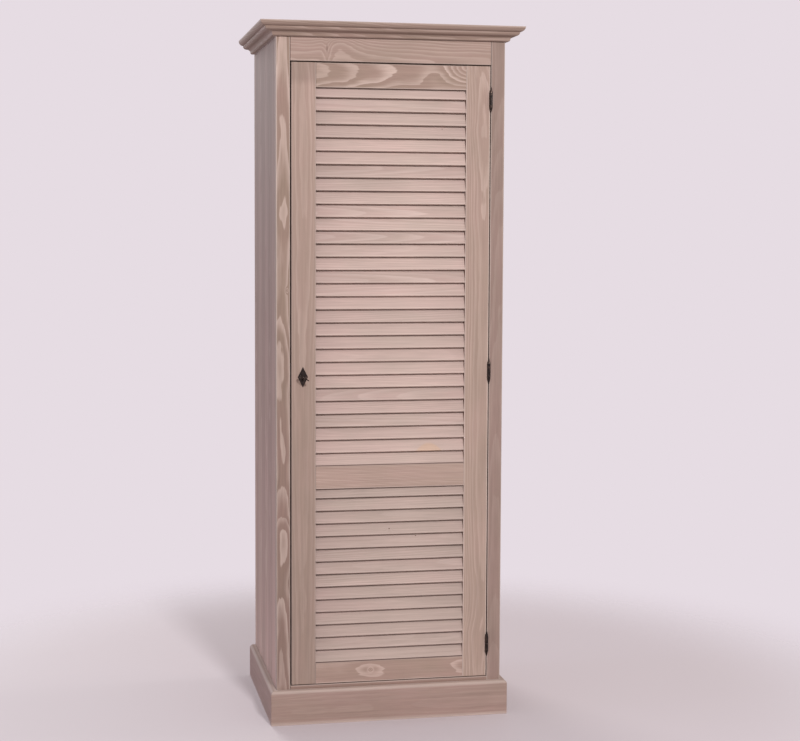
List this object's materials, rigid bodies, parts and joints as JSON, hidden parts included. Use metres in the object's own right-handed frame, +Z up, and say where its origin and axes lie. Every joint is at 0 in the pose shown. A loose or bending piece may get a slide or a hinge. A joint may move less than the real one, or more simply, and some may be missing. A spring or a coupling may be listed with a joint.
{
  "type": "louvred door cabinet",
  "caption": "Tall free-standing cabinet of stained softwood with a framed louvred door, shelves, moulded cornice and plinth, lift-off hinges and a lock with a turning key.",
  "frame": {"origin": "on the floor, under the middle of the cabinet's outer box, cornice included", "axes": "+Z up, front with the louvred door faces -Y, +X to the right of someone who faces the door"},
  "size_m": [0.72, 0.556, 1.9],
  "materials": {
    "stained_pine": "softwood, brushed and stained greyish brown, matt lacquer",
    "louvre_pine": "planed softwood slats, paler greyish brown stain, matt lacquer",
    "inner_pine": "planed softwood, thin greyish brown stain",
    "black_iron": "blackened iron, slightly worn at the edges",
    "plain_steel": "plain drawn steel, dull"
  },
  "bodies": {
    "carcass": {"side_panel_left": "stained_pine", "side_panel_right": "stained_pine", "top_board": "stained_pine", "bottom_board": "stained_pine", "back_panel": "inner_pine", "frame_stile_left": "stained_pine", "frame_stile_right": "stained_pine", "frame_rail_top": "stained_pine", "door_stop": "inner_pine", "cornice_front": "stained_pine", "cornice_left": "stained_pine", "cornice_right": "stained_pine", "plinth_front": "stained_pine", "plinth_left": "stained_pine", "plinth_right": "stained_pine", "shelf_1": "inner_pine", "shelf_2": "inner_pine", "shelf_3": "inner_pine", "shelf_4": "inner_pine", "shelf_cleat_1_left": "inner_pine", "shelf_cleat_1_right": "inner_pine", "shelf_cleat_2_left": "inner_pine", "shelf_cleat_2_right": "inner_pine", "shelf_cleat_3_left": "inner_pine", "shelf_cleat_3_right": "inner_pine", "shelf_cleat_4_left": "inner_pine", "shelf_cleat_4_right": "inner_pine", "hinge_bottom_frame_leaf": "black_iron", "hinge_middle_frame_leaf": "black_iron", "hinge_top_frame_leaf": "black_iron", "hinge_bottom_pin": "plain_steel", "hinge_middle_pin": "plain_steel", "hinge_top_pin": "plain_steel", "strike_plate": "plain_steel"},
    "door": {"door_stile_lock_side_with_upper_louvres": "louvre_pine", "door_stile_hinge_side": "stained_pine", "door_rail_bottom": "stained_pine", "door_rail_middle": "stained_pine", "door_rail_top": "stained_pine", "louvre_slat_01": "louvre_pine", "louvre_slat_02": "louvre_pine", "louvre_slat_03": "louvre_pine", "louvre_slat_04": "louvre_pine", "louvre_slat_05": "louvre_pine", "louvre_slat_06": "louvre_pine", "louvre_slat_07": "louvre_pine", "louvre_slat_08": "louvre_pine", "louvre_slat_09": "louvre_pine", "louvre_slat_10": "louvre_pine", "louvre_slat_11": "louvre_pine", "louvre_slat_12": "louvre_pine", "louvre_slat_13": "louvre_pine", "louvre_slat_14": "louvre_pine", "hinge_bottom_door_leaf": "black_iron", "hinge_middle_door_leaf": "black_iron", "hinge_top_door_leaf": "black_iron", "lock_case": "plain_steel", "escutcheon": "black_iron"},
    "key": {"key": "black_iron"},
    "bolt": {"lock_bolt": "plain_steel"}
  },
  "joints": [
    {"name": "door_swing", "type": "hinge", "parent": "carcass", "child": "door", "pos_m": [0.27475, -0.2368, 0.962], "axis": [0, 0, 1], "range_deg": [0, 170]},
    {"name": "key_turn", "type": "hinge", "parent": "door", "child": "key", "pos_m": [-0.242, -0.232, 0.952], "axis": [0, -1, 0], "range_deg": [-58, 302]},
    {"name": "bolt_slide", "type": "slide", "parent": "door", "child": "bolt", "axis": [-1, 0, 0], "range_m": [-0.00145, 0.00755]}
  ],
  "couplings": [
    {"joint": "bolt_slide", "follows": "key_turn", "m_per_rad": 0.0014323}
  ]
}
